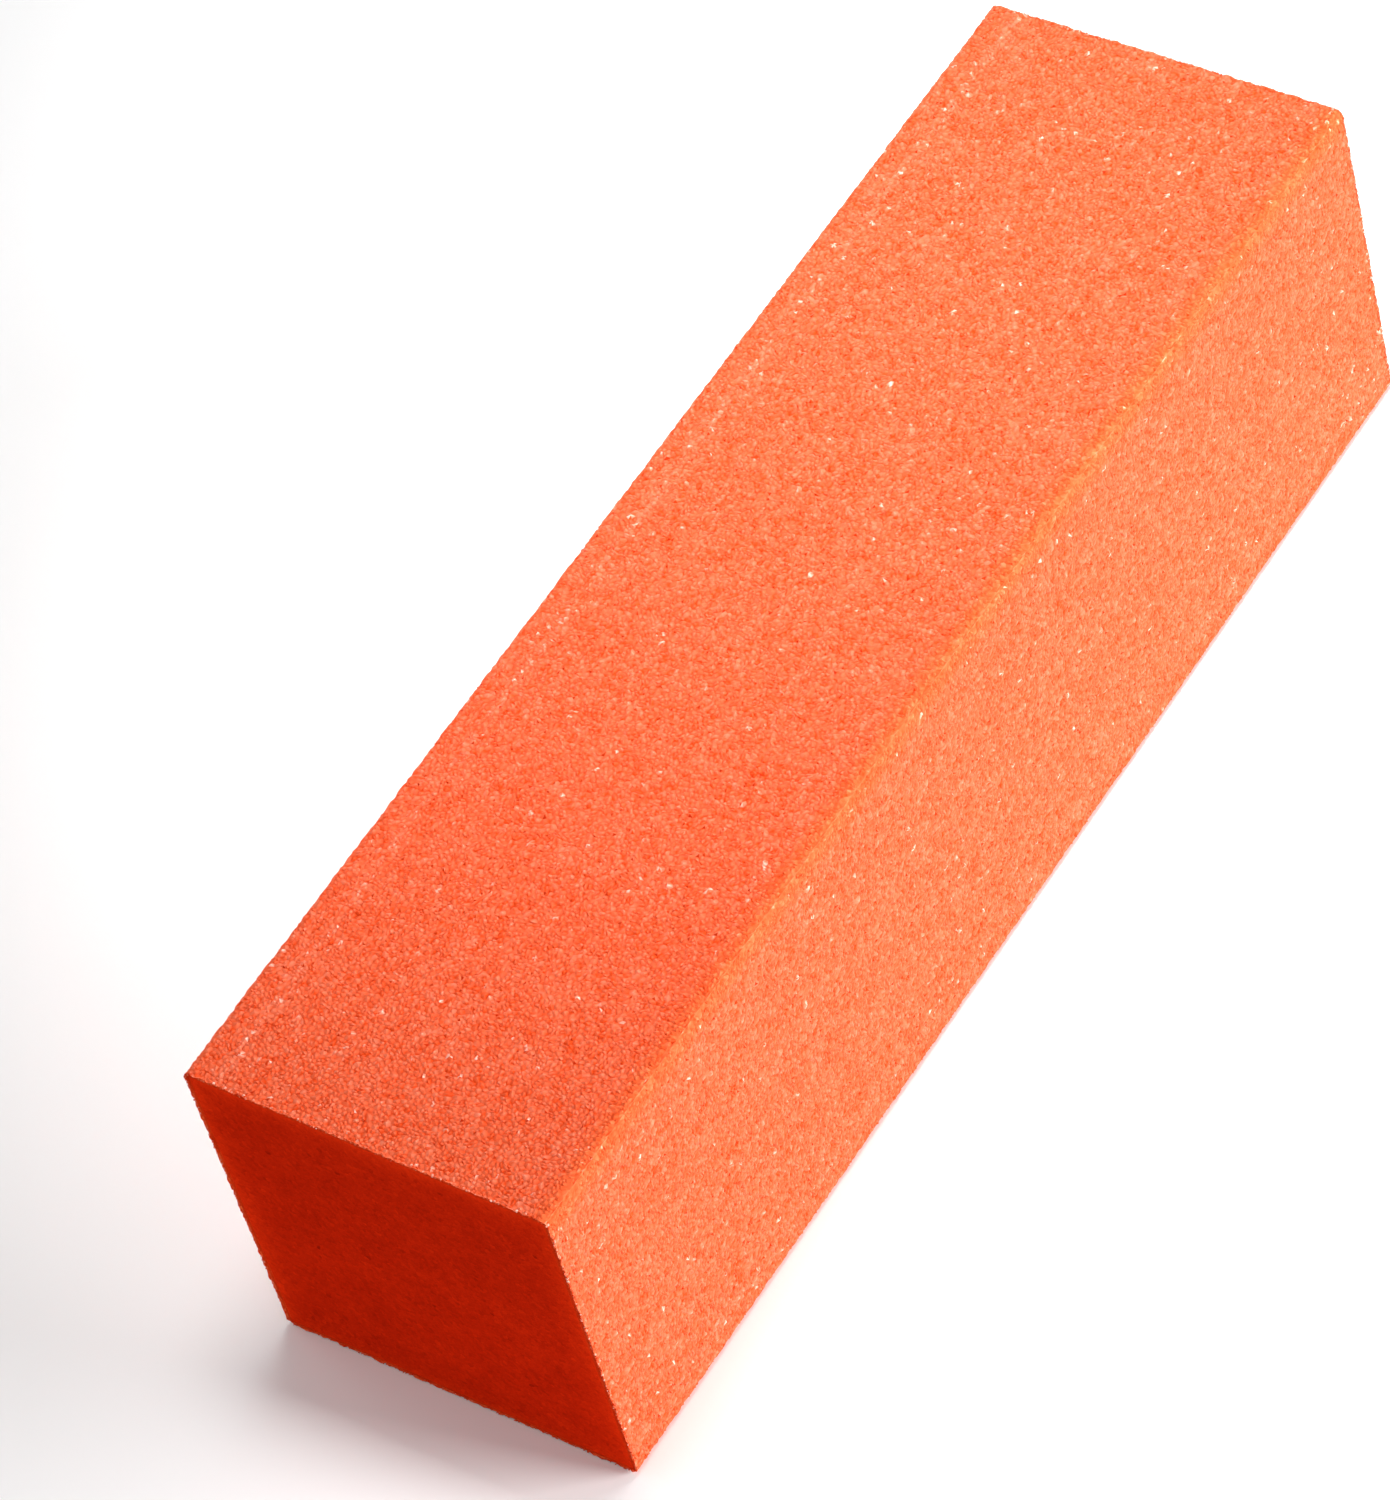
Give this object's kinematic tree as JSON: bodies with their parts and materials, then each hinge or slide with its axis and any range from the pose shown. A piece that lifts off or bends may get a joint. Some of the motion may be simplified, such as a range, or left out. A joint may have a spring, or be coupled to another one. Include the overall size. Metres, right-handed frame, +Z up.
{
  "type": "nail buffer block",
  "caption": "Rectangular foam buffing block with a bonded abrasive grit coat on each long face and bare cut foam ends.",
  "frame": {"origin": "middle of the underside, on the surface the block rests on", "axes": "+X along the block's length, +Z up, -Y the front; the top, front, bottom and back faces carry the abrasive, and the two X ends are bare foam"},
  "size_m": [0.095, 0.0266, 0.0266],
  "materials": {
    "foam": "closed-cell foam, deep red-orange, cut surface with fine cells, matt",
    "bond_resin": "thin cured resin coat, deep red-orange and matt where its cut edge shows",
    "abrasive": "mineral grain in orange-tinted resin, coarse and matt, with scattered pale grains"
  },
  "bodies": {
    "root": {"foam_core": "foam", "bond_coat_top": "bond_resin", "bond_coat_front": "bond_resin", "bond_coat_bottom": "bond_resin", "bond_coat_back": "bond_resin", "grit_coat_top": "abrasive", "grit_coat_front": "abrasive", "grit_coat_bottom": "abrasive", "grit_coat_back": "abrasive"}
  },
  "joints": []
}
